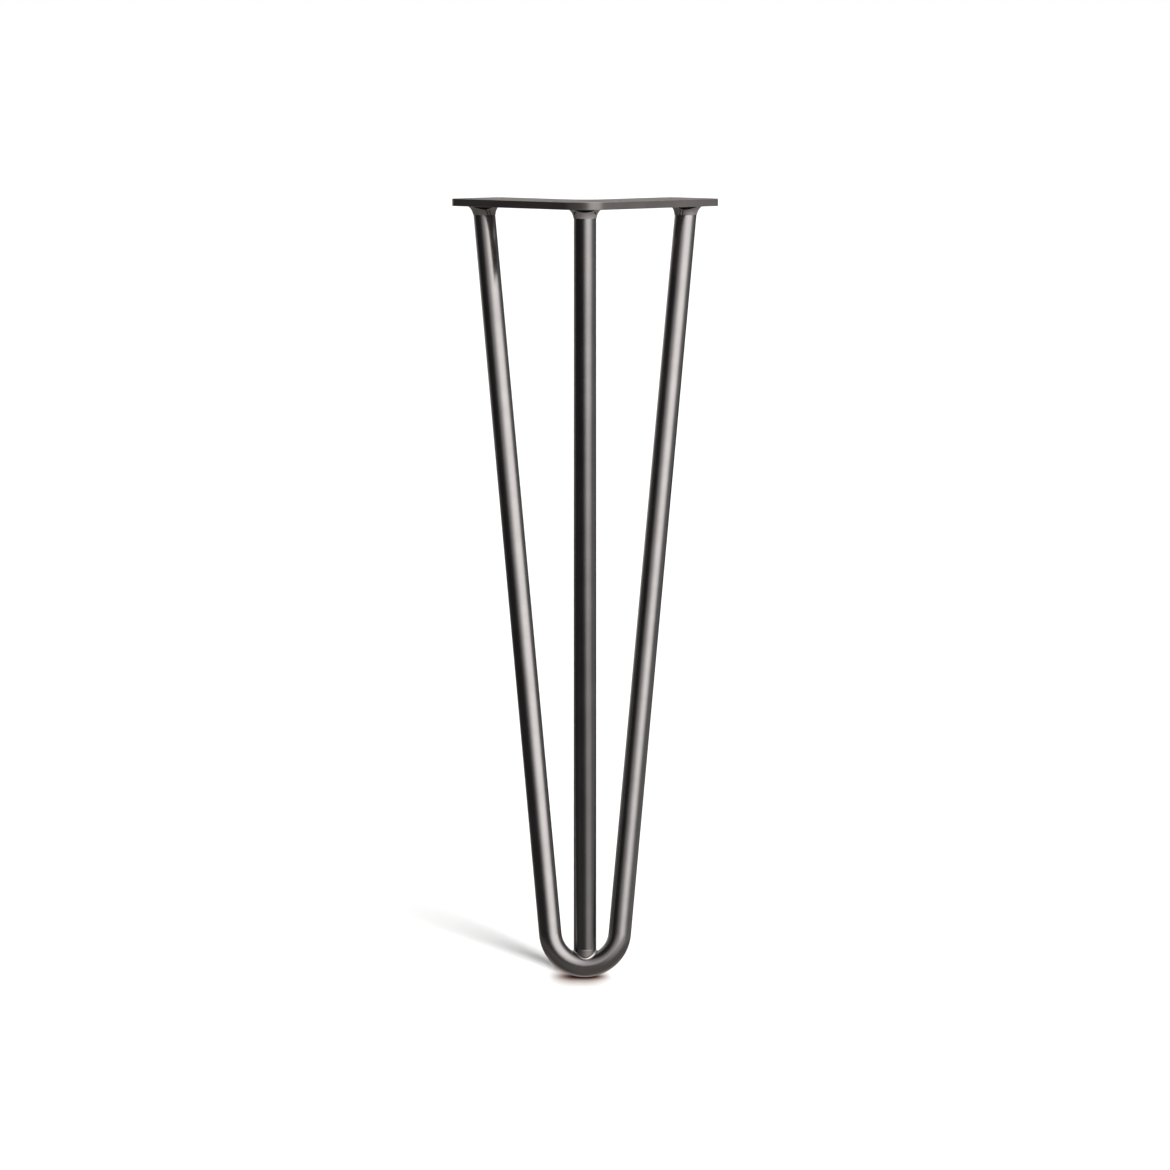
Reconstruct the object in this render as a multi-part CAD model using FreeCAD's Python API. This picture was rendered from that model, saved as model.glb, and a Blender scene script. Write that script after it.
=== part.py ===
import FreeCAD, Part
import math
import os

# Hairpin table leg: an L-shaped screw plate, a bent rod with a U-shaped foot and a straight third rod
# Lengths are in mm, angles in degrees
# The mounting face of the plate is z = 0 and the leg hangs below it
# The rounded corner of the plate points along -Y, and x = 0 is the plane of symmetry

# Plate
plate_thickness = 4.0
arm_length = 106.0              # along the outer edge, from the sharp corner
arm_width = 38.0
front_corner_radius = 16.0
inner_corner_radius = 13.0
end_corner_radius = 5.0
edge_break = 0.4                # bevel round the rim of both faces

# Screw holes, placed along the arm and square to its outer edge
hole_diameter = 5.3
inner_hole_from_corner = 32.75  # from the sharp corner
inner_hole_inset = 8.0
outer_hole_from_end = 14.2      # from the end of the arm
outer_hole_inset = 26.0

# Rods
rod_diameter = 12.0
rod_inset = 10.6                # tops of all three rods, square to the outer edges
outer_rod_from_end = 17.0
leg_height = 406.0              # mounting face to floor
foot_reach = 60.7               # foot in front of the top of the third rod
bend_radius = 18.5              # of the centreline of the U
third_rod_offset = 0.6          # third rod behind the centreline of the U

# Welds under the plate
weld_flare = 2.2                # beyond the rod, along the plate
weld_leg = 4.2                  # down the rod

# Gap left between each bead and the plate, open to the front
corner_gap_width = 10.5
corner_gap_depth = 1.4
outer_gap_width = 9.4
outer_gap_depth = 1.5
gap_reach = 2.6                 # back from the front of the bead

# Weld at the foot
foot_weld_flare = 2.0           # beyond the third rod, to the sides
foot_weld_leg = 2.1             # up the third rod
foot_weld_rise = 2.5            # widest level, above the inner side of the bend
foot_weld_sweep = 70.0          # degrees round the third rod, on each side

overrun = 1.0                   # of a cut past the surface that it opens

rod_radius = rod_diameter / 2.0
weld_radius = rod_radius + weld_flare
underside = -plate_thickness
half_root = math.sqrt(0.5)
sharp_corner_y = -rod_inset / half_root
straight_down = FreeCAD.Vector(0, 0, -1)


def on_arm(side, along, inset, z=0.0):
    """Point of one arm: along its outer edge from the sharp corner, and inset square to it."""
    x = side * (along - inset) * half_root
    return FreeCAD.Vector(x, sharp_corner_y + (along + inset) * half_root, z)


def rounded_outline(corners):
    """Closed wire through (point, radius) corners, each corner rounded by a tangent arc."""
    ends = []
    for i, (point, radius) in enumerate(corners):
        into = (corners[i - 1][0] - point).normalize()
        away = (corners[(i + 1) % len(corners)][0] - point).normalize()
        half = into.getAngle(away) / 2.0
        reach = radius / math.tan(half)
        bisector = (into + away).normalize()
        middle = point + bisector * (radius / math.sin(half) - radius)
        ends.append((point + into * reach, middle, point + away * reach))
    edges = []
    for i, (start, middle, stop) in enumerate(ends):
        edges.append(Part.Arc(start, middle, stop).toShape())
        edges.append(Part.makeLine(stop, ends[(i + 1) % len(ends)][0]))
    return Part.Wire(edges)


def make_plate():
    """L-shaped plate with four screw holes."""
    corners = [
        (on_arm(1, 0.0, 0.0), front_corner_radius),
        (on_arm(1, arm_length, 0.0), end_corner_radius),
        (on_arm(1, arm_length, arm_width), end_corner_radius),
        (on_arm(1, arm_width, arm_width), inner_corner_radius),
        (on_arm(-1, arm_length, arm_width), end_corner_radius),
        (on_arm(-1, arm_length, 0.0), end_corner_radius),
    ]
    outline = Part.Face(rounded_outline(corners))
    plate = outline.extrude(FreeCAD.Vector(0, 0, underside))
    rims = [edge for edge in plate.Edges if edge.BoundBox.ZLength < plate_thickness / 2.0]
    plate = plate.makeChamfer(edge_break, rims)
    holes = (
        (inner_hole_from_corner, inner_hole_inset),
        (arm_length - outer_hole_from_end, outer_hole_inset),
    )
    for side in (-1, 1):
        for along, inset in holes:
            foot = on_arm(side, along, inset, underside - overrun)
            drill = Part.makeCylinder(hole_diameter / 2.0, plate_thickness + 2 * overrun, foot)
            plate = plate.cut(drill)
    return plate


# Tops of the rods, and the plane of the bent rod
# That plane holds the X axis and the line from the foot up to the tops of the outer rods
third_top = FreeCAD.Vector(0, 0, underside)
left_top = on_arm(-1, arm_length - outer_rod_from_end, rod_inset, underside)
right_top = on_arm(1, arm_length - outer_rod_from_end, rod_inset, underside)
foot_point = FreeCAD.Vector(0, -foot_reach, rod_radius - leg_height)
bend_up = ((left_top + right_top) * 0.5 - foot_point).normalize()
bend_centre = foot_point + bend_up * bend_radius
third_foot = foot_point + FreeCAD.Vector(0, third_rod_offset, 0)
third_down = (third_foot - third_top).normalize()


def bend_end(top):
    """Point where the straight stretch that comes from a top meets the bend, tangent to it."""
    rise = (top - bend_centre).dot(bend_up)
    turn = math.atan2(rise, abs(top.x)) - math.acos(bend_radius / math.hypot(top.x, rise))
    sideways = FreeCAD.Vector(math.copysign(math.cos(turn), top.x), 0, 0)
    return bend_centre + (sideways + bend_up * math.sin(turn)) * bend_radius


left_end = bend_end(left_top)
right_end = bend_end(right_top)
left_down = (left_end - left_top).normalize()
right_down = (right_end - right_top).normalize()


def below_plate(shape):
    """The part of a shape under the plate."""
    size = 4.0 * leg_height
    block = Part.makeBox(size, size, size, FreeCAD.Vector(-size / 2, -size / 2, underside))
    return shape.cut(block)


def largest(shape):
    """The biggest solid of a shape."""
    return max(shape.Solids, key=lambda solid: solid.Volume)


def make_hairpin_rod():
    """Bent rod: two straight stretches joined by the bend at the foot."""
    start = left_top - left_down * rod_diameter
    stop = right_top - right_down * rod_diameter
    path = Part.Wire([
        Part.makeLine(start, left_end),
        Part.Arc(left_end, foot_point, right_end).toShape(),
        Part.makeLine(right_end, stop),
    ])
    section = Part.Wire(Part.makeCircle(rod_radius, start, left_down))
    return below_plate(path.makePipeShell([section], True, False))


def make_third_rod(bent_rod):
    """Straight rod from the plate to the inside of the bend, its end cut to the bent rod."""
    start = third_top - third_down * rod_diameter
    rod = Part.makeCylinder(rod_radius, (third_foot - start).Length, start, third_down)
    return largest(below_plate(rod).cut(bent_rod))


def make_collar(base, along, flare, leg, depth, start=0.0, sweep=360.0):
    """Ring round a rod, or part of one: a wall, and a hollow face drawn as two bevels."""
    hollow = (flare ** 2 + leg ** 2) / (2.0 * flare)
    half_turn = math.asin(leg / hollow) / 2.0
    toe = FreeCAD.Vector(rod_radius, 0, leg)
    middle = FreeCAD.Vector(
        rod_radius + hollow * (1.0 - math.cos(half_turn)), 0, leg - hollow * math.sin(half_turn))
    shoulder = FreeCAD.Vector(rod_radius + flare, 0, 0)
    outer_back = FreeCAD.Vector(rod_radius + flare, 0, -depth)
    inner_back = FreeCAD.Vector(rod_radius, 0, -depth)
    profile = Part.Wire([
        Part.makeLine(toe, middle),
        Part.makeLine(middle, shoulder),
        Part.makeLine(shoulder, outer_back),
        Part.makeLine(outer_back, inner_back),
        Part.makeLine(inner_back, toe),
    ])
    axis = FreeCAD.Vector(0, 0, 1)
    collar = Part.Face(profile).revolve(FreeCAD.Vector(0, 0, 0), axis, sweep)
    turn = FreeCAD.Rotation(axis, along).multiply(FreeCAD.Rotation(axis, start))
    collar.Placement = FreeCAD.Placement(base, turn)
    return collar


def make_bead(top, down, gap):
    """Weld bead round the top of a rod, level with the underside of the plate."""
    above = rod_diameter * math.tan(down.getAngle(straight_down))
    collar = make_collar(top, down, weld_flare, weld_leg, above)
    return largest(below_plate(collar).cut(gap))


def gap_front(top):
    """Point in front of a bead where the gap under the plate starts."""
    return top - FreeCAD.Vector(0, weld_radius + overrun, 0)


def corner_gap():
    """Gap of the corner bead: a flat arc under the plate."""
    front = gap_front(third_top)
    side = FreeCAD.Vector(corner_gap_width / 2.0, 0, 0)
    bottom = front - FreeCAD.Vector(0, 0, corner_gap_depth)
    arc = Part.Arc(front - side, bottom, front + side).toShape()
    face = Part.Face(Part.Wire([arc, Part.makeLine(front + side, front - side)]))
    return face.extrude(FreeCAD.Vector(0, overrun + gap_reach, 0))


def outer_gap(top):
    """Gap of an outer bead: a V under the plate."""
    front = gap_front(top)
    side = FreeCAD.Vector(outer_gap_width / 2.0, 0, 0)
    bottom = front - FreeCAD.Vector(0, 0, outer_gap_depth)
    face = Part.Face(Part.makePolygon([front - side, bottom, front + side, front - side]))
    return face.extrude(FreeCAD.Vector(0, overrun + gap_reach, 0))


def make_foot_weld(bent_rod):
    """Weld at the foot: a fill in each corner between the third rod and the bend."""
    level = rod_radius + foot_weld_rise
    base = third_foot - third_down * level
    fills = []
    for side in (0.0, 180.0):
        start = side - foot_weld_sweep / 2.0
        fill = make_collar(
            base, -third_down, foot_weld_flare, foot_weld_leg, level, start, foot_weld_sweep)
        fills.append(largest(fill.cut(bent_rod)))
    return Part.makeCompound(fills)


hairpin_rod = make_hairpin_rod()
nodes = {
    "mounting_plate": make_plate(),
    "hairpin_rod": hairpin_rod,
    "third_rod": make_third_rod(hairpin_rod),
    "weld_left": make_bead(left_top, left_down, outer_gap(left_top)),
    "weld_right": make_bead(right_top, right_down, outer_gap(right_top)),
    "weld_corner": make_bead(third_top, third_down, corner_gap()),
    "weld_foot": make_foot_weld(hairpin_rod),
}

os.makedirs("parts", exist_ok=True)
for name, shape in nodes.items():
    shape.exportStep("parts/" + name + ".step")
    box = shape.optimalBoundingBox(False, False)
    state = "valid" if shape.isValid() else "invalid"
    low = [round(v, 2) for v in (box.XMin, box.YMin, box.ZMin)]
    high = [round(v, 2) for v in (box.XMax, box.YMax, box.ZMax)]
    print(name, len(shape.Solids), state, round(shape.Volume, 1), low, high)
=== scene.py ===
import math

import bmesh
import bpy
from mathutils import Matrix, Vector


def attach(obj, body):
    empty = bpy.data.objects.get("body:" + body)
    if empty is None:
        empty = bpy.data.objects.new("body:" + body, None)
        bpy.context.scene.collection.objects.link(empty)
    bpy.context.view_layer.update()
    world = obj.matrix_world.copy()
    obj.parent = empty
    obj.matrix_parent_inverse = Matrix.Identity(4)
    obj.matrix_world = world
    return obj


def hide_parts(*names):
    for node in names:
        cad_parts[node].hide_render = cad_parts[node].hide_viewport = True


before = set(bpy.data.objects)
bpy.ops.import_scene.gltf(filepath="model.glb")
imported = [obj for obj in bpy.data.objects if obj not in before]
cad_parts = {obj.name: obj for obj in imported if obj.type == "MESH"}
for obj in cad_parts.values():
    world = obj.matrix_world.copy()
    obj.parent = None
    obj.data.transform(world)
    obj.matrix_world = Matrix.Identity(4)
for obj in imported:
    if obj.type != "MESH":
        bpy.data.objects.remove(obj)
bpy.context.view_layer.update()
scene = bpy.context.scene
mm = 0.001

# Small node helpers


def addNode(tree, kind, place=(0, 0), **values):
    node = tree.nodes.new(kind)
    node.location = place
    for key, value in values.items():
        setattr(node, key, value)
    return node


def mathNode(tree, operation, first, second=None, third=None):
    node = addNode(tree, "ShaderNodeMath", operation=operation)
    for socket, value in zip(node.inputs, (first, second, third)):
        if value is None:
            continue
        if isinstance(value, (int, float)):
            socket.default_value = value
        else:
            tree.links.new(value, socket)
    return node.outputs[0]


# Finishes
# tone and deep are the ends of the coat's slow drift, rough its range; clouds and grain are noise scales
# and grainDepth is in metres
coats = {
    "rod": {
        "tone": (0.212, 0.205, 0.204), "deep": (0.184, 0.178, 0.177), "rough": (0.18, 0.20),
        "clouds": 55.0, "grain": 1400.0, "grainDepth": 0.00001,
        "brushed": 0.85,                         # drawn grain: soft across the rod, crisp along it
    },
    "plate": {
        "tone": (0.34, 0.322, 0.312), "deep": (0.295, 0.279, 0.27), "rough": (0.20, 0.25),
        "clouds": 40.0, "grain": 1100.0, "grainDepth": 0.00003,
    },
    # painted shade: a darker copy of the plate coat for the plate's top face alone, so its grazing
    # reflection of the studio light stays dim
    "mountingFace": {
        "tone": (0.125, 0.118, 0.113), "deep": (0.10, 0.094, 0.090), "rough": (0.40, 0.50),
        "clouds": 40.0, "grain": 900.0, "grainDepth": 0.00003,
    },
    "weld": {
        "tone": (0.46, 0.444, 0.438), "deep": (0.38, 0.367, 0.362), "rough": (0.74, 0.84),
        "clouds": 160.0, "grain": 1500.0, "grainDepth": 0.00004,
    },
    "footCap": {
        "tone": (0.23, 0.222, 0.218), "deep": (0.18, 0.174, 0.170), "rough": (0.42, 0.50),
        "clouds": 160.0, "grain": 1500.0, "grainDepth": 0.00003,
    },
    # painted highlight: a lighter, glossier copy of the foot weld coat on the rim round the third rod's
    # end, drawing a bright line there
    "footRim": {
        "tone": (0.50, 0.485, 0.475), "deep": (0.44, 0.427, 0.418), "rough": (0.26, 0.32),
        "clouds": 160.0, "grain": 1500.0, "grainDepth": 0.00002,
    },
    # painted shade: a near-black coat for the gap walls and creases of the top beads, standing in for the
    # shade under the plate
    "gap": {
        "tone": (0.02, 0.019, 0.018), "deep": (0.012, 0.011, 0.011), "rough": (0.6, 0.7),
        "clouds": 300.0, "grain": 1500.0, "grainDepth": 0.00003,
    },
}
noise = {
    "cloudDetail": 4.0, "cloudRoughness": 0.6, "grainDetail": 3.0, "low": 0.3, "high": 0.7, "bump": 0.35,
}


def satinSteel(name, coat):
    material = bpy.data.materials.new(name)
    material.use_nodes = True
    tree = material.node_tree
    shader = tree.nodes["Principled BSDF"]
    shader.inputs["Metallic"].default_value = 1.0
    if "brushed" in coat:
        shader.inputs["Anisotropic"].default_value = coat["brushed"]
        grainWay = addNode(tree, "ShaderNodeTangent", (-400, -500), direction_type="UV_MAP")
        grainWay.uv_map = "aroundAndAlong"
        tree.links.new(grainWay.outputs["Tangent"], shader.inputs["Tangent"])
    where = addNode(tree, "ShaderNodeTexCoord", (-1100, 0))
    clouds = addNode(tree, "ShaderNodeTexNoise", (-900, 200))          # slow drift of the coat's tone
    clouds.inputs["Scale"].default_value = coat["clouds"]
    clouds.inputs["Detail"].default_value = noise["cloudDetail"]
    clouds.inputs["Roughness"].default_value = noise["cloudRoughness"]
    grain = addNode(tree, "ShaderNodeTexNoise", (-900, -200))          # fine orange peel of the coat
    grain.inputs["Scale"].default_value = coat["grain"]
    grain.inputs["Detail"].default_value = noise["grainDetail"]
    colour = addNode(tree, "ShaderNodeMix", (-600, 200), data_type="RGBA")
    colour.inputs["A"].default_value = (*coat["deep"], 1)
    colour.inputs["B"].default_value = (*coat["tone"], 1)
    spread = addNode(tree, "ShaderNodeMapRange", (-750, 350))
    spread.inputs["From Min"].default_value = noise["low"]
    spread.inputs["From Max"].default_value = noise["high"]
    gloss = addNode(tree, "ShaderNodeMapRange", (-600, -50))
    gloss.inputs["From Min"].default_value = noise["low"]
    gloss.inputs["From Max"].default_value = noise["high"]
    gloss.inputs["To Min"].default_value = coat["rough"][0]
    gloss.inputs["To Max"].default_value = coat["rough"][1]
    bump = addNode(tree, "ShaderNodeBump", (-400, -250))
    bump.inputs["Strength"].default_value = noise["bump"]
    bump.inputs["Distance"].default_value = coat["grainDepth"]
    link = tree.links.new
    link(where.outputs["Object"], clouds.inputs["Vector"])
    link(where.outputs["Object"], grain.inputs["Vector"])
    link(clouds.outputs["Fac"], spread.inputs["Value"])
    link(spread.outputs["Result"], colour.inputs["Factor"])
    link(colour.outputs["Result"], shader.inputs["Base Color"])
    link(clouds.outputs["Fac"], gloss.inputs["Value"])
    link(gloss.outputs["Result"], shader.inputs["Roughness"])
    link(grain.outputs["Fac"], bump.inputs["Height"])
    link(bump.outputs["Normal"], shader.inputs["Normal"])
    return material


rodCoat = satinSteel("blackenedRod", coats["rod"])
plateCoat = satinSteel("blackenedPlate", coats["plate"])
# painted shade: the darker coat for the plate's top face
plateTopPaintedShade = satinSteel("plateTopPaintedShadeCoat", coats["mountingFace"])
weldCoat = satinSteel("blackenedWeld", coats["weld"])
footCoat = satinSteel("blackenedFootWeld", coats["footCap"])
# painted highlight for the foot weld's rim
footRimPaintedHighlight = satinSteel("footRimPaintedHighlightCoat", coats["footRim"])
# painted shade for the beads' gaps and creases
gapPaintedShade = satinSteel("paintedShadeInGap", coats["gap"])
print("finishes ready")

# Mesh helpers
mergeReach = 1e-7                                # in metres


def settle(name, mesh, material, sharpAngle=35.0):
    build = bmesh.new()
    build.from_mesh(mesh)
    bmesh.ops.remove_doubles(build, verts=build.verts, dist=mergeReach)
    bmesh.ops.recalc_face_normals(build, faces=build.faces)
    build.to_mesh(mesh)
    build.free()
    mesh.shade_smooth()
    mesh.set_sharp_from_angle(angle=math.radians(sharpAngle))
    mesh.materials.clear()
    mesh.materials.append(material)
    mesh.name = name
    piece = bpy.data.objects.new(name, mesh)
    scene.collection.objects.link(piece)
    return piece


def evaluatedMesh(helper):
    bpy.context.view_layer.update()
    graph = bpy.context.evaluated_depsgraph_get()
    mesh = bpy.data.meshes.new_from_object(helper.evaluated_get(graph), depsgraph=graph)
    bpy.data.objects.remove(helper)
    return mesh


def finishPiece(piece, slotName, *nodes):
    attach(piece, "root")
    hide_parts(*nodes)


# Mounting plate
plateSize = {
    "thickness": 4.0, "armLength": 106.0, "armWidth": 38.0, "frontRadius": 16.0, "innerRadius": 13.0,
    "endRadius": 5.0, "rim": 0.15, "rimSteps": 4, "stepsPerTurn": 96, "rodInset": 10.6,
    "holeDiameter": 5.3, "holeSides": 48,
    "holes": ((32.75, 8.0), (91.8, 26.0)),       # along the arm, inset
    "leastSteps": 6, "sharpAngle": 50.0, "flatWeight": 90, "topFaceUp": 0.99,
}
root2 = math.sqrt(0.5)
sharpCornerY = -plateSize["rodInset"] / root2


def onArm(side, along, inset, z=0.0):
    return Vector((side * (along - inset) * root2, sharpCornerY + (along + inset) * root2, z)) * mm


def roundedCorners(corners, size):
    points = []
    for i, (corner, radius) in enumerate(corners):
        toLast = (corners[i - 1][0] - corner).normalized()
        toNext = (corners[(i + 1) % len(corners)][0] - corner).normalized()
        half = toLast.angle(toNext) / 2
        middle = corner + (toLast + toNext).normalized() * (radius * mm / math.sin(half))
        start = corner + toLast * (radius * mm / math.tan(half)) - middle
        stop = corner + toNext * (radius * mm / math.tan(half)) - middle
        turn = start.angle(stop)
        steps = max(size["leastSteps"], round(size["stepsPerTurn"] * turn / (2 * math.pi)))
        for k in range(steps + 1):
            a = k / steps
            arm = start * math.sin((1 - a) * turn) + stop * math.sin(a * turn)
            points.append(middle + arm / math.sin(turn))
    return points


def makePlate(size):
    corners = [(onArm(1, 0, 0), size["frontRadius"]), (onArm(1, size["armLength"], 0), size["endRadius"]),
               (onArm(1, size["armLength"], size["armWidth"]), size["endRadius"]),
               (onArm(1, size["armWidth"], size["armWidth"]), size["innerRadius"]),
               (onArm(-1, size["armLength"], size["armWidth"]), size["endRadius"]),
               (onArm(-1, size["armLength"], 0), size["endRadius"])]
    curve = bpy.data.curves.new("plateOutline", "CURVE")
    curve.dimensions = "2D"
    curve.fill_mode = "BOTH"
    rim = size["rim"] * mm
    curve.extrude = size["thickness"] * mm / 2 - rim
    curve.bevel_depth = rim
    curve.bevel_resolution = size["rimSteps"]
    curve.offset = -rim                      # keeps the outline at its own size

    def addLoop(points):
        spline = curve.splines.new("POLY")
        spline.points.add(len(points) - 1)
        for dot, place in zip(spline.points, points):
            dot.co = (place.x, place.y, 0, 1)
        spline.use_cyclic_u = True

    addLoop(roundedCorners(corners, size))
    for side in (-1, 1):
        for along, inset in size["holes"]:
            middle = onArm(side, along, inset)
            radius = size["holeDiameter"] * mm / 2
            sides = size["holeSides"]
            turns = [2 * math.pi * k / sides for k in range(sides)]
            addLoop([middle + Vector((math.cos(a), math.sin(a), 0)) * radius for a in turns])
    helper = bpy.data.objects.new("plateHelper", curve)
    scene.collection.objects.link(helper)
    mesh = evaluatedMesh(helper)
    mesh.transform(Matrix.Translation((0, 0, -size["thickness"] * mm / 2)))
    return mesh


def flattenShading(mesh, weight):
    helper = bpy.data.objects.new("shadingHelper", mesh)
    scene.collection.objects.link(helper)
    # keeps the broad faces flat beside the rim
    weights = helper.modifiers.new("weights", "WEIGHTED_NORMAL")
    weights.weight = weight
    weights.keep_sharp = True
    return evaluatedMesh(helper)


mountingPlate = settle("mountingPlate", makePlate(plateSize), plateCoat, plateSize["sharpAngle"])
mountingPlate.data = flattenShading(mountingPlate.data, plateSize["flatWeight"])
mountingPlate.data.name = "mountingPlate"
# painted shade: the upward faces take the darker top coat
mountingPlate.data.materials.append(plateTopPaintedShade)
for face in mountingPlate.data.polygons:
    if face.normal.z > plateSize["topFaceUp"]:
        face.material_index = 1
finishPiece(mountingPlate, "plate_coat", "mounting_plate")
print("plate made,", len(mountingPlate.data.polygons), "faces")

# Rods
rodSize = {
    "diameter": 12.0, "legHeight": 406.0, "footReach": 60.7, "bendRadius": 18.5, "thirdRodBack": 1.4,
    "outerRodFromEnd": 17.0, "sides": 72, "bendSteps": 64, "intoPlate": 1.2, "thirdRodShort": 2.0,
}
rodRadius = rodSize["diameter"] / 2 * mm
underside = -plateSize["thickness"] * mm
topAlong = plateSize["armLength"] - rodSize["outerRodFromEnd"]
leftTop = onArm(-1, topAlong, plateSize["rodInset"], -plateSize["thickness"])
rightTop = onArm(1, topAlong, plateSize["rodInset"], -plateSize["thickness"])
thirdTop = Vector((0, 0, underside))
footPoint = Vector((0, -rodSize["footReach"] * mm, rodRadius - rodSize["legHeight"] * mm))
bendUp = ((leftTop + rightTop) / 2 - footPoint).normalized()
bendRadius = rodSize["bendRadius"] * mm
bendMiddle = footPoint + bendUp * bendRadius
bendFront = Vector((1, 0, 0)).cross(bendUp)
bendFront = bendFront if bendFront.y < 0 else -bendFront


def bendEnd(top):
    rise = (top - bendMiddle).dot(bendUp)
    turn = math.atan2(rise, abs(top.x)) - math.acos(bendRadius / math.hypot(top.x, rise))
    sideways = Vector((math.copysign(math.cos(turn), top.x), 0, 0))
    return bendMiddle + (sideways + bendUp * math.sin(turn)) * bendRadius


leftEnd, rightEnd = bendEnd(leftTop), bendEnd(rightTop)
leftDown, rightDown = (leftEnd - leftTop).normalized(), (rightEnd - rightTop).normalized()
thirdFoot = footPoint + Vector((0, rodSize["thirdRodBack"] * mm, 0))
thirdDown = (thirdFoot - thirdTop).normalized()
vTip = leftTop + leftDown * (leftTop.x / -leftDown.x)               # where the two straights would cross


def rodTree():
    tree = bpy.data.node_groups.new("bentRod", "GeometryNodeTree")
    face = tree.interface
    face.new_socket("Path", in_out="INPUT", socket_type="NodeSocketGeometry")
    face.new_socket("Radius", in_out="INPUT", socket_type="NodeSocketFloat")
    face.new_socket("Bend Radius", in_out="INPUT", socket_type="NodeSocketFloat")
    face.new_socket("Bend Steps", in_out="INPUT", socket_type="NodeSocketInt")
    face.new_socket("Sides", in_out="INPUT", socket_type="NodeSocketInt")
    face.new_socket("Coat", in_out="INPUT", socket_type="NodeSocketMaterial")
    face.new_socket("Rod", in_out="OUTPUT", socket_type="NodeSocketGeometry")
    given = addNode(tree, "NodeGroupInput", (-900, 0))
    toCurve = addNode(tree, "GeometryNodeMeshToCurve", (-700, 100))
    fillet = addNode(tree, "GeometryNodeFilletCurve", (-500, 100))
    fillet.mode = "POLY"
    ring = addNode(tree, "GeometryNodeCurvePrimitiveCircle", (-500, -200))
    skin = addNode(tree, "GeometryNodeCurveToMesh", (-300, 0))
    skin.inputs["Fill Caps"].default_value = True
    real = addNode(tree, "GeometryNodeRealizeInstances", (-100, 0))
    paint = addNode(tree, "GeometryNodeSetMaterial", (100, 0))
    made = addNode(tree, "NodeGroupOutput", (300, 0))
    link = tree.links.new
    link(given.outputs["Path"], toCurve.inputs[0])
    link(toCurve.outputs[0], fillet.inputs["Curve"])
    link(given.outputs["Bend Radius"], fillet.inputs["Radius"])
    link(given.outputs["Bend Steps"], fillet.inputs["Count"])
    link(given.outputs["Sides"], ring.inputs["Resolution"])
    link(given.outputs["Radius"], ring.inputs["Radius"])
    link(fillet.outputs["Curve"], skin.inputs["Curve"])
    link(ring.outputs["Curve"], skin.inputs["Profile Curve"])
    link(skin.outputs["Mesh"], real.inputs[0])
    link(real.outputs[0], paint.inputs["Geometry"])
    link(given.outputs["Coat"], paint.inputs["Material"])
    link(paint.outputs["Geometry"], made.inputs[0])
    return tree


bentRodTree = rodTree()


def unwrapRod(mesh, sides):
    uv = mesh.uv_layers.new(name="aroundAndAlong")
    rings = len(mesh.vertices) // sides
    middles = []
    for i in range(rings):
        ring = [mesh.vertices[i * sides + k].co for k in range(sides)]
        middles.append(sum(ring, Vector()) / sides)
    along = [0.0]
    for here, last in zip(middles[1:], middles):
        along.append(along[-1] + (here - last).length)
    for face in mesh.polygons:
        turns = [v % sides for v in face.vertices]
        crossesSeam = max(turns) - min(turns) > sides / 2
        for corner, v, turn in zip(face.loop_indices, face.vertices, turns):
            around = sides if crossesSeam and turn == 0 else turn
            uv.data[corner].uv = (around / sides, along[v // sides])


def makeRod(name, path, values):
    line = bpy.data.meshes.new(name + "Path")
    line.from_pydata([tuple(p) for p in path], [(i, i + 1) for i in range(len(path) - 1)], [])
    helper = bpy.data.objects.new(name + "Helper", line)
    scene.collection.objects.link(helper)
    modifier = helper.modifiers.new("rod", "NODES")
    modifier.node_group = bentRodTree
    sockets = {s.name: s.identifier for s in bentRodTree.interface.items_tree if s.in_out == "INPUT"}
    for key, value in values.items():
        modifier[sockets[key]] = value
    mesh = evaluatedMesh(helper)
    unwrapRod(mesh, values["Sides"])
    return settle(name, mesh, values["Coat"])


rodValues = {"Radius": rodRadius, "Bend Radius": bendRadius, "Bend Steps": rodSize["bendSteps"],
             "Sides": rodSize["sides"], "Coat": rodCoat}
inset = rodSize["intoPlate"] * mm
hairpinPath = [leftTop - leftDown * inset, vTip, rightTop - rightDown * inset]
hairpinRod = makeRod("hairpinRod", hairpinPath, rodValues)
finishPiece(hairpinRod, "rod_coat", "hairpin_rod")
thirdEnd = thirdFoot - thirdDown * rodSize["thirdRodShort"] * mm
thirdRod = makeRod("thirdRod", [thirdTop - thirdDown * inset, thirdEnd], rodValues)
finishPiece(thirdRod, "rod_coat", "third_rod")
thirdRod.visible_glossy = False                # its mirror image would cut the outer rods' long highlights
print("rods made,", len(hairpinRod.data.polygons) + len(thirdRod.data.polygons), "faces")

# Welds under the plate
beadSize = {
    "flare": 3.1, "leg": 4.5, "fullness": 1.7, "lip": 0.22, "rows": 30, "sides": 240, "sink": 0.5,
    "gapReach": 2.5, "gapPast": 1.0, "arcSteps": 24, "arcRound": 0.8, "veeEdge": 0.4,
    "creaseDeep": 0.6, "creaseWide": 0.42,
    "unrolledBeyond": 1.0, "wallUp": 0.3, "wallToFront": -0.999, "wallNear": 0.02,
}
perDegree = math.radians(rodSize["diameter"] / 2 + beadSize["unrolledBeyond"])     # mm round the rod
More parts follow.
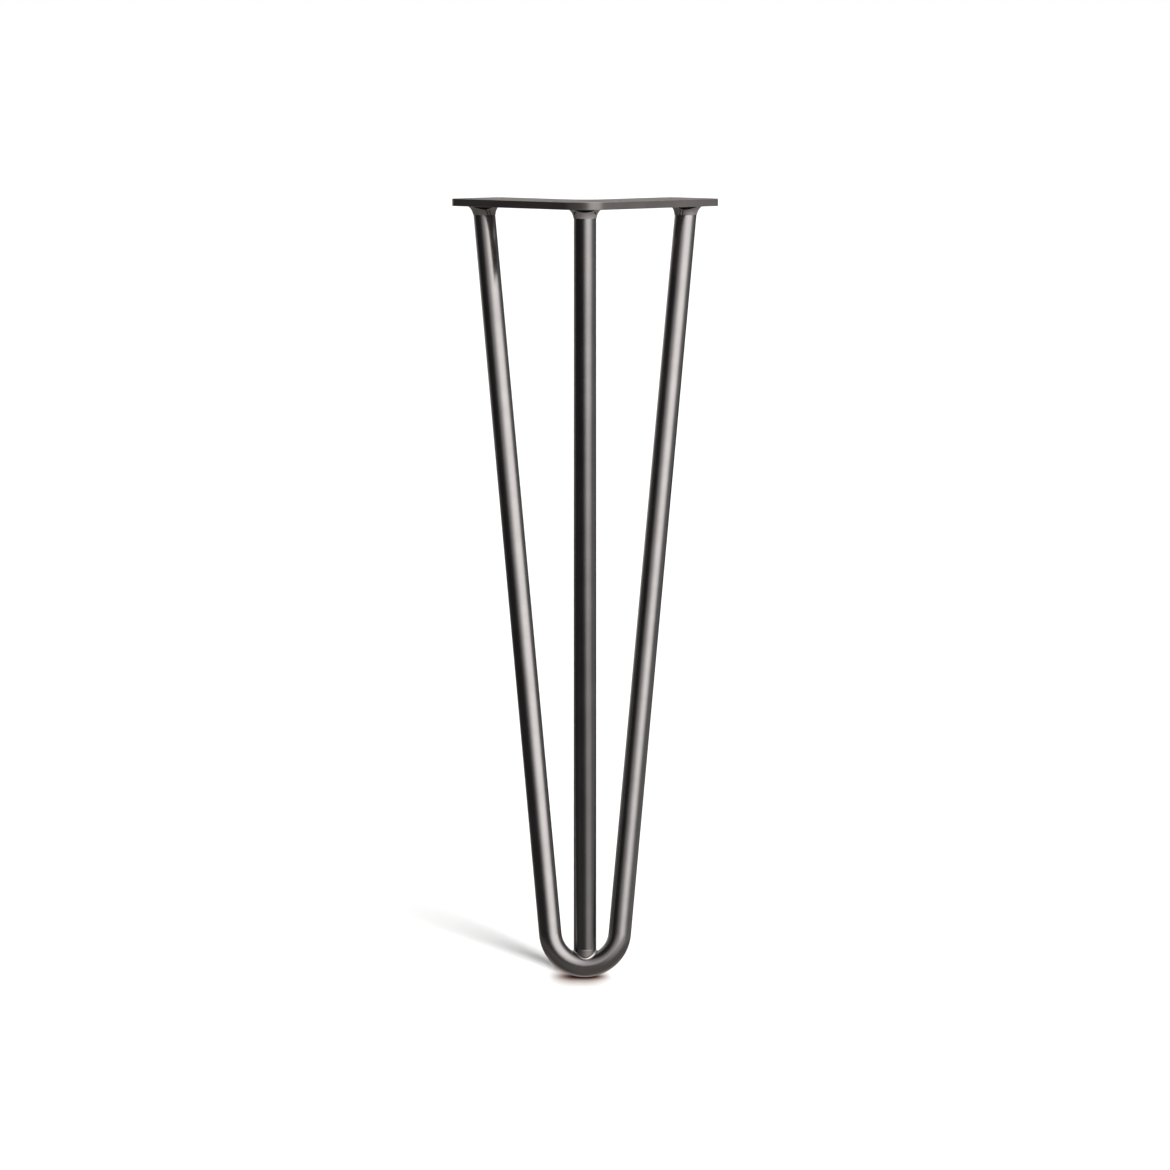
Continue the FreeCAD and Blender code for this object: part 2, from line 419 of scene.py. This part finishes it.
# each bead's gap to the plate: a V with its tip beside the rod's middle, or a flat arc where tip is None
# dark is how far the painted shade spreads from a crease; creases hold (degrees round the rod from its
# front, mm below the plate)
leftGap = {
    "width": 10.4, "depth": 1.9, "tip": 0.95, "dark": 0.21,
    "creases": [[(9, 1.9), (15, 2.8), (19, 3.8), (20, 4.8)], [(25, 2.0), (32, 3.0), (35, 4.8)]],
}
rightGap = {
    "width": 10.4, "depth": 1.9, "tip": -0.95, "dark": 0.21,
    "creases": [[(-29, 1.8), (-34, 3.0), (-34, 4.8)], [(-15, 1.8), (-20, 3.0), (-19, 4.8)]],
}
cornerGap = {
    "width": 10.8, "depth": 1.35, "tip": None, "dark": 0.3,
    "creases": [[(-60, 4.7), (-61, 2.6), (-56, 1.7), (-46, 1.35)],
                [(46, 1.35), (56, 1.7), (61, 2.6), (60, 4.7)]],
}


def frameAround(down):
    side = Vector((1, 0, 0))
    side = (side - down * side.dot(down)).normalized()
    return side, down.cross(side).normalized()


def frameToFront(down):
    across, toward = frameAround(down)
    return across, toward if toward.y < 0 else -toward


def unrolledLines(creases):
    return [[(turn * perDegree, below) for turn, below in crease] for crease in creases]


def gridMesh(name, rings):
    mesh = bpy.data.meshes.new(name)
    count, width = len(rings), len(rings[0])
    faces = []
    for i in range(count):
        for k in range(width):
            n, m = (i + 1) % count, (k + 1) % width
            faces.append((i * width + k, i * width + m, n * width + m, n * width + k))
    mesh.from_pydata([tuple(p) for ring in rings for p in ring], [], faces)
    return mesh


def lineDistance(spot, line):
    nearest = math.inf
    for first, last in zip(line, line[1:]):
        a, b = Vector(first), Vector(last)
        share = max(0.0, min(1.0, (spot - a).dot(b - a) / (b - a).length_squared))
        nearest = min(nearest, (spot - a - (b - a) * share).length)
    return nearest


def beadRing(top, down, creases, size):
    across, toward = frameToFront(down)
    lines = unrolledLines(creases)
    power = 2 / size["fullness"]
    rings = []
    for i in range(size["sides"]):
        degrees = 360 * i / size["sides"] - 180
        a = math.radians(degrees)
        out = across * math.sin(a) + toward * math.cos(a)

        def spot(beyond, below):                      # beyond the rod, below the plate
            radius = rodRadius + beyond * mm
            reach = (underside - below * mm - top.z - out.z * radius) / down.z
            return top + out * radius + down * reach

        ring = []
        for k in range(size["rows"] + 1):
            t = math.pi / 2 * k / size["rows"]
            beyond = size["lip"] + (size["flare"] - size["lip"]) * (1 - math.sin(t) ** power)
            below = size["leg"] * (1 - math.cos(t) ** power)
            here = Vector((degrees * perDegree, below))
            for line in lines:
                gap = lineDistance(here, line) / size["creaseWide"]
                beyond -= size["creaseDeep"] * math.exp(-gap * gap)
            ring.append(spot(beyond, below))
        ring.append(spot(-size["sink"], size["leg"]))
        ring.append(spot(-size["sink"], -size["sink"]))
        ring.append(spot(size["flare"], -size["sink"]))
        rings.append(ring)
    return gridMesh("beadRing", rings)


def gapBlock(top, gap, size):
    width, depth, edge, past = gap["width"], gap["depth"], size["veeEdge"], size["gapPast"]
    if gap["tip"] is None:
        shares = [k / size["arcSteps"] for k in range(size["arcSteps"] + 1)]
        outline = [((a - 0.5) * width, -depth * abs(math.sin(math.pi * a)) ** size["arcRound"])
                   for a in shares]
    else:
        outline = [(-width / 2, -edge), (gap["tip"], -depth), (width / 2, -edge)]
    outline += [(width / 2, past), (-width / 2, past)]
    front = top.y - rodRadius - (size["flare"] + past) * mm
    back = top.y - rodRadius - size["flare"] * mm + size["gapReach"] * mm
    build = bmesh.new()
    near = [build.verts.new((top.x + x * mm, front, underside + z * mm)) for x, z in outline]
    far = [build.verts.new((top.x + x * mm, back, underside + z * mm)) for x, z in outline]
    build.faces.new(near)
    build.faces.new(list(reversed(far)))
    for k in range(len(near)):
        m = (k + 1) % len(near)
        build.faces.new((near[m], near[k], far[k], far[m]))
    mesh = bpy.data.meshes.new("gapBlock")
    build.to_mesh(mesh)
    build.free()
    return mesh


def unrolled(point, top, down):
    across, toward = frameToFront(down)
    level = point - top                               # gives degrees from the front, mm below the plate
    return math.degrees(math.atan2(level.dot(across), level.dot(toward))), (underside - point.z) / mm


# paints the gap's cut walls and the bands along the creases near-black, as painted shade
def darkenGap(bead, top, down, gap, size):
    bead.data.materials.append(gapPaintedShade)
    back = top.y - rodRadius - (size["flare"] - size["gapReach"] - size["wallNear"]) * mm
    lines = unrolledLines(gap["creases"])
    for face in bead.data.polygons:
        degrees, below = unrolled(face.center, top, down)
        inGap = abs(face.center.x - top.x) < gap["width"] / 2 * mm and below < gap["depth"]
        inGap = inGap and face.center.y < back
        cutWall = inGap and (face.normal.z > size["wallUp"] or face.normal.y < size["wallToFront"])
        here = Vector((degrees * perDegree, below))
        inCrease = below > 0 and any(lineDistance(here, line) < gap["dark"] for line in lines)
        face.material_index = 1 if cutWall or inCrease else 0


def makeBead(name, node, top, down, gap, size):
    bead = bpy.data.objects.new("beadHelper", beadRing(top, down, gap["creases"], size))
    block = bpy.data.objects.new("gapHelper", gapBlock(top, gap, size))
    for helper in (bead, block):                      # the cut needs faces that look outward
        scene.collection.objects.link(helper)
        build = bmesh.new()
        build.from_mesh(helper.data)
        bmesh.ops.recalc_face_normals(build, faces=build.faces)
        build.to_mesh(helper.data)
        build.free()
    cut = bead.modifiers.new("gap", "BOOLEAN")
    cut.operation = "DIFFERENCE"
    cut.solver = "EXACT"
    cut.object = block
    mesh = evaluatedMesh(bead)
    bpy.data.objects.remove(block)
    piece = settle(name, mesh, weldCoat)
    darkenGap(piece, top, down, gap, size)
    finishPiece(piece, "weld_coat", node)


makeBead("weldLeft", "weld_left", leftTop, leftDown, leftGap, beadSize)
makeBead("weldRight", "weld_right", rightTop, rightDown, rightGap, beadSize)
makeBead("weldCorner", "weld_corner", thirdTop, thirdDown, cornerGap, beadSize)
print("top welds made")

# Weld at the foot
footWeldSize = {
    "sides": 160, "tubeSides": 20, "tubeRadius": 0.72, "tubeOut": 0.12, "backMore": 0.6, "backIn": 0.6,
    "capInto": 0.03, "capThick": 0.5, "capRound": 0.5, "searchHigh": 20.0, "searchSteps": 40,
    "capSweep": 43.0, "capHigh": 5.0, "capRaise": 0.2, "capSoft": 0.35, "capStop": 0.9,
    "capRows": 44, "capColumns": 60,
}


def bendDistance(point):
    level = point - bendMiddle
    flat = level - bendFront * level.dot(bendFront)
    middle = bendMiddle + flat.normalized() * bendRadius
    return (point - middle).length - rodRadius


def bendNormal(point):
    level = point - bendMiddle
    flat = level - bendFront * level.dot(bendFront)
    return (point - bendMiddle - flat.normalized() * bendRadius).normalized()


def meetBend(out, size):
    high = thirdFoot + out * rodRadius - thirdDown * size["searchHigh"] * mm
    low, top = 0.0, (size["searchHigh"] - rodSize["thirdRodShort"]) * mm
    for _ in range(size["searchSteps"]):              # down the rod's side to the bend
        middle = (low + top) / 2
        if bendDistance(high + thirdDown * middle) > 0:
            low = middle
        else:
            top = middle
    return high + thirdDown * low


def footTube(size):
    across, toward = frameAround(thirdDown)
    outs = [across * math.cos(a) + toward * math.sin(a)
            for a in [2 * math.pi * i / size["sides"] for i in range(size["sides"])]]
    meets = [meetBend(out, size) for out in outs]
    rings = []
    for i, (out, meet) in enumerate(zip(outs, meets)):
        behind = max(0.0, out.y) ** 2                 # fuller behind, where the rod overhangs the bend
        onward = (meets[(i + 1) % len(meets)] - meets[i - 1]).normalized()
        away = (out + bendNormal(meet)).normalized()
        aside = onward.cross(away).normalized()
        middle = meet + (away * size["tubeOut"] - out * size["backIn"] * behind) * mm
        thick = (size["tubeRadius"] + size["backMore"] * behind) * mm
        ring = []
        for k in range(size["tubeSides"]):
            b = 2 * math.pi * k / size["tubeSides"]
            ring.append(middle + (away * math.cos(b) + aside * math.sin(b)) * thick)
        rings.append(ring)
    return gridMesh("footTube", rings)


def footCap(size):
    across, toward = frameToFront(thirdDown)
    front = meetBend(toward, size)
    rows, columns = size["capRows"], size["capColumns"]
    halfWide = math.radians(size["capSweep"]) * (rodRadius / mm)
    outer, inner = [], []
    for i in range(columns + 1):
        s = (2 * i / columns - 1) * halfWide
        a = s / (rodRadius / mm)
        out = across * math.sin(a) + toward * math.cos(a)
        meet = meetBend(out, size)
        low = (meet - front).dot(-thirdDown) / mm + size["capStop"]
        outerRow, innerRow = [], []
        for k in range(rows + 1):
            h = low + (size["capHigh"] - low) * k / rows
            fromEdge = min(halfWide - abs(s), size["capHigh"] - h, h - low)
            rise = size["capRaise"] * min(1.0, max(0.0, fromEdge) / size["capSoft"]) ** size["capRound"]
            foot = front + (out - toward) * rodRadius - thirdDown * h * mm
            outerRow.append(foot + out * (rise - size["capInto"]) * mm)
            innerRow.append(foot - out * size["capThick"] * mm)
        outer.append(outerRow)
        inner.append(innerRow)
    rings = [o + list(reversed(n)) for o, n in zip(outer, inner)]
    mesh = bpy.data.meshes.new("footCap")
    wide = len(rings[0])
    faces = []
    for i in range(columns):
        for k in range(wide):
            m = (k + 1) % wide
            faces.append((i * wide + k, i * wide + m, (i + 1) * wide + m, (i + 1) * wide + k))
    faces.append(tuple(range(wide)))
    faces.append(tuple(columns * wide + k for k in reversed(range(wide))))
    mesh.from_pydata([tuple(p) for ring in rings for p in ring], [], faces)
    return mesh


def makeFootWeld(size):
    build = bmesh.new()
    build.from_mesh(footTube(size))
    tubeFaces = len(build.faces)
    build.from_mesh(footCap(size))
    mesh = bpy.data.meshes.new("footWeld")
    build.to_mesh(mesh)
    build.free()
    piece = settle("weldFoot", mesh, footCoat)
    # painted highlight: the rim's faces take the lighter coat
    piece.data.materials.append(footRimPaintedHighlight)
    for face in piece.data.polygons[:tubeFaces]:
        face.material_index = 1
    return piece


weldFoot = makeFootWeld(footWeldSize)
finishPiece(weldFoot, "weld_coat", "weld_foot")
print("foot weld made")

# Floor
floorSize = {
    "half": 14.0, "tone": (0.88, 0.88, 0.88), "rough": 0.9, "samples": 16,
    "contactReach": 0.02, "contactFade": (2.1, 2.5, 2.7),                # shade under the foot, in metres
    "contactMiddle": -0.003, "contactEdges": (0.003, 0.019),
}
floorMesh = bpy.data.meshes.new("paleFloor")
half, level = floorSize["half"], -rodSize["legHeight"] * mm
corners = [(-half, -half, level), (half, -half, level), (half, half, level), (-half, half, level)]
floorMesh.from_pydata(corners, [], [(0, 1, 2, 3)])
floor = bpy.data.objects.new("paleFloor", floorMesh)
scene.collection.objects.link(floor)
paper = bpy.data.materials.new("palePaper")
paper.use_nodes = True
sheet = paper.node_tree
nearness = addNode(sheet, "ShaderNodeAmbientOcclusion", (-900, 0), samples=floorSize["samples"])
nearness.inputs["Distance"].default_value = floorSize["contactReach"]
onFloor = addNode(sheet, "ShaderNodeSeparateXYZ", (-1100, -300))
floorPlace = addNode(sheet, "ShaderNodeTexCoord", (-1300, -300))
sheet.links.new(floorPlace.outputs["Object"], onFloor.inputs[0])
aside = mathNode(sheet, "SUBTRACT", onFloor.outputs["X"], floorSize["contactMiddle"])
sideFade = addNode(sheet, "ShaderNodeMapRange", (-700, -300), interpolation_type="SMOOTHSTEP")
sheet.links.new(mathNode(sheet, "ABSOLUTE", aside), sideFade.inputs["Value"])
sideFade.inputs["From Min"].default_value = floorSize["contactEdges"][0]
sideFade.inputs["From Max"].default_value = floorSize["contactEdges"][1]
sideFade.inputs["To Min"].default_value = 1.0
sideFade.inputs["To Max"].default_value = 0.0
contact = addNode(sheet, "ShaderNodeCombineColor", (-400, 0))     # warm soft shade by the foot
for socket, tone, fade in zip(contact.inputs, floorSize["tone"], floorSize["contactFade"]):
    depth = mathNode(sheet, "MULTIPLY", sideFade.outputs["Result"], fade)
    shade = mathNode(sheet, "POWER", nearness.outputs["AO"], depth)
    sheet.links.new(mathNode(sheet, "MULTIPLY", shade, tone), socket)
paperShader = sheet.nodes["Principled BSDF"]
sheet.links.new(contact.outputs["Color"], paperShader.inputs["Base Color"])
paperShader.inputs["Roughness"].default_value = floorSize["rough"]
paperShader.inputs["Specular IOR Level"].default_value = 0.0
floorMesh.materials.append(paper)
floor.visible_glossy = False

# Studio light, soft cards round the leg
# edges and blurs in degrees: left, right, bottom, top; 0 is towards the camera and the horizon
studioCards = {
    "key": {
        "edges": (8, 86, 11, 66), "blurs": (60, 54, 14, 36), "tint": (1, 0.98, 0.955), "level": 3.15,
    },
    "highLeft": {
        "edges": (-34, 24, 19, 72), "blurs": (30, 40, 10, 20), "tint": (1, 0.94, 0.95), "level": 0.75,
    },
    "lowKey": {
        "edges": (14, 66, -7, 12), "blurs": (16, 22, 8, 10), "tint": (1, 0.975, 0.96), "level": 0.56,
    },
    "rightWall": {
        "edges": (12, 129, -12, 95), "blurs": (70, 46, 12, 10), "tint": (1, 0.96, 0.975), "level": 0.38,
    },
    "leftWall": {
        "edges": (-180, -5, -9, 95), "blurs": (30, 40, 8, 10), "tint": (1, 0.94, 0.95), "level": 0.04,
    },
    "lowLeft": {
        "edges": (-165, -45, -24, -7), "blurs": (40, 30, 8, 4), "tint": (1, 0.95, 0.93), "level": 0.03,
    },
    "front": {
        "edges": (-75, 40, -14, 3), "blurs": (60, 50, 10, 10), "tint": (1, 0.95, 0.95), "level": 0.09,
    },
    "backWall": {
        "edges": (151, 236, -5, 70), "blurs": (22, 40, 6, 30), "tint": (1, 0.955, 0.915), "level": 0.80,
    },
    "ground": {
        "edges": (-181, 181, -95, -9), "blurs": (1, 1, 1, 8), "tint": (1, 0.91, 0.86), "level": 0.20,
    },
    "groundLit": {
        "edges": (-45, 150, -95, -9), "blurs": (80, 60, 1, 8), "tint": (1, 0.91, 0.86), "level": 0.115,
    },
    "backFloor": {
        "edges": (125, 240, -75, -34), "blurs": (40, 40, 20, 12), "tint": (1, 0.96, 0.93), "level": 0.5,
    },
}
dome = {"tint": (1.0, 0.985, 0.97), "level": 0.15}           # lights the paper alone


def cardGroup():
    tree = bpy.data.node_groups.new("softCard", "ShaderNodeTree")
    face = tree.interface
    sides = ("Left", "Right", "Bottom", "Top")
    for name in ("Turn", "Lift", *sides, *(side + " Blur" for side in sides), "Level"):
        face.new_socket(name, in_out="INPUT", socket_type="NodeSocketFloat")
    face.new_socket("Tint", in_out="INPUT", socket_type="NodeSocketColor")
    face.new_socket("Below", in_out="INPUT", socket_type="NodeSocketVector")
    face.new_socket("Light", in_out="OUTPUT", socket_type="NodeSocketVector")
    given = addNode(tree, "NodeGroupInput")
    made = addNode(tree, "NodeGroupOutput", (900, 0))
    get = given.outputs

    def edge(inside, blur):                           # 0 outside the edge, 1 inside
        ramp = addNode(tree, "ShaderNodeMapRange", interpolation_type="SMOOTHSTEP")
        tree.links.new(inside, ramp.inputs["Value"])
        tree.links.new(mathNode(tree, "MULTIPLY", blur, -0.5), ramp.inputs["From Min"])
        tree.links.new(mathNode(tree, "MULTIPLY", blur, 0.5), ramp.inputs["From Max"])
        return ramp.outputs["Result"]

    middle = mathNode(tree, "MULTIPLY", mathNode(tree, "ADD", get["Left"], get["Right"]), 0.5)
    halfWide = mathNode(tree, "SUBTRACT", get["Right"], middle)
    turn = mathNode(tree, "WRAP", mathNode(tree, "SUBTRACT", get["Turn"], middle), 180.0, -180.0)
    mask = mathNode(tree, "MULTIPLY", edge(mathNode(tree, "ADD", turn, halfWide), get["Left Blur"]),
                    edge(mathNode(tree, "SUBTRACT", halfWide, turn), get["Right Blur"]))
    mask = mathNode(tree, "MULTIPLY", mask,
                    edge(mathNode(tree, "SUBTRACT", get["Lift"], get["Bottom"]), get["Bottom Blur"]))
    mask = mathNode(tree, "MULTIPLY", mask,
                    edge(mathNode(tree, "SUBTRACT", get["Top"], get["Lift"]), get["Top Blur"]))
    tinted = addNode(tree, "ShaderNodeVectorMath", operation="SCALE")
    tree.links.new(get["Tint"], tinted.inputs[0])
    tree.links.new(mathNode(tree, "MULTIPLY", mask, get["Level"]), tinted.inputs["Scale"])
    total = addNode(tree, "ShaderNodeVectorMath", operation="ADD")
    tree.links.new(tinted.outputs[0], total.inputs[0])
    tree.links.new(get["Below"], total.inputs[1])
    tree.links.new(total.outputs[0], made.inputs["Light"])
    return tree


world = bpy.data.worlds.new("studio")
scene.world = world
world.use_nodes = True
sky = world.node_tree
sky.nodes.clear()
facing = addNode(sky, "ShaderNodeTexCoord")
parts = addNode(sky, "ShaderNodeSeparateXYZ")
sky.links.new(facing.outputs["Generated"], parts.inputs[0])
turnAngle = mathNode(sky, "DEGREES", mathNode(sky, "ARCTAN2", parts.outputs["X"],
                                              mathNode(sky, "MULTIPLY", parts.outputs["Y"], -1.0)))
liftAngle = mathNode(sky, "DEGREES", mathNode(sky, "ARCSINE", parts.outputs["Z"]))
softCard = cardGroup()
lastLight = None
for cardName, card in studioCards.items():
    node = addNode(sky, "ShaderNodeGroup", node_tree=softCard, label=cardName)
    sky.links.new(turnAngle, node.inputs["Turn"])
    sky.links.new(liftAngle, node.inputs["Lift"])
    for side, place, blur in zip(("Left", "Right", "Bottom", "Top"), card["edges"], card["blurs"]):
        node.inputs[side].default_value = place
        node.inputs[side + " Blur"].default_value = blur
    node.inputs["Level"].default_value = card["level"]
    node.inputs["Tint"].default_value = (*card["tint"], 1)
    if lastLight is not None:
        sky.links.new(lastLight, node.inputs["Below"])
    lastLight = node.outputs["Light"]
cardsGlow = addNode(sky, "ShaderNodeBackground")            # seen in reflections
sky.links.new(lastLight, cardsGlow.inputs["Color"])
whiteWall = addNode(sky, "ShaderNodeBackground")            # seen by the camera
whiteWall.inputs["Color"].default_value = (1, 1, 1, 1)
path = addNode(sky, "ShaderNodeLightPath")
choose = addNode(sky, "ShaderNodeMixShader")
paperGlow = addNode(sky, "ShaderNodeBackground")            # an even dome for the floor alone
paperGlow.inputs["Color"].default_value = (*dome["tint"], 1)
paperGlow.inputs["Strength"].default_value = dome["level"]
onPaper = addNode(sky, "ShaderNodeMixShader")
sky.links.new(path.outputs["Is Diffuse Ray"], onPaper.inputs[0])
sky.links.new(cardsGlow.outputs[0], onPaper.inputs[1])
sky.links.new(paperGlow.outputs[0], onPaper.inputs[2])
sky.links.new(path.outputs["Is Camera Ray"], choose.inputs[0])
sky.links.new(onPaper.outputs[0], choose.inputs[1])
sky.links.new(whiteWall.outputs[0], choose.inputs[2])
skyOut = addNode(sky, "ShaderNodeOutputWorld")
sky.links.new(choose.outputs[0], skyOut.inputs["Surface"])

# degrees: turn to the right of the camera, lift above the floor; they light the paper alone
floorLights = {
    "frontPaperLight": {"turn": 35.0, "lift": 30.0, "spread": 15.5, "strength": 5.4},
    "backPaperLight": {"turn": 170.0, "lift": 60.0, "spread": 60.0, "strength": 0.95},
}
for lampName, beam in floorLights.items():
    lamp = bpy.data.lights.new(lampName, "SUN")
    lamp.angle = math.radians(beam["spread"])
    lamp.energy = beam["strength"]
    paperLight = bpy.data.objects.new(lampName, lamp)
    paperLight.rotation_euler = (math.radians(90 - beam["lift"]), 0, math.radians(beam["turn"]))
    paperLight.visible_glossy = False
    paperLight.visible_camera = False
    scene.collection.objects.link(paperLight)
    if lampName == "frontPaperLight":                 # one narrow streak, as the third rod alone would cast
        passing = bpy.data.collections.new("letsLightPass")
        passing.objects.link(hairpinRod)
        passing.collection_objects[0].light_linking.link_state = "EXCLUDE"
        paperLight.light_linking.blocker_collection = passing
scene.view_settings.view_transform = "Standard"
scene.view_settings.look = "None"
print("studio ready")

# Camera
shot = {
    "lens": 104.1, "sensor": 36.0, "distance": 1.8044, "height": 0.0581, "pitchDown": 8.301,
    "near": 0.05, "far": 60.0,
}
cameraData = bpy.data.cameras.new("shot")
cameraData.lens = shot["lens"]
cameraData.sensor_width = shot["sensor"]
cameraData.clip_start = shot["near"]
cameraData.clip_end = shot["far"]
camera = bpy.data.objects.new("shot", cameraData)
camera.location = (0, -shot["distance"], shot["height"])
camera.rotation_euler = (math.radians(90 - shot["pitchDown"]), 0, 0)
scene.collection.objects.link(camera)
scene.camera = camera
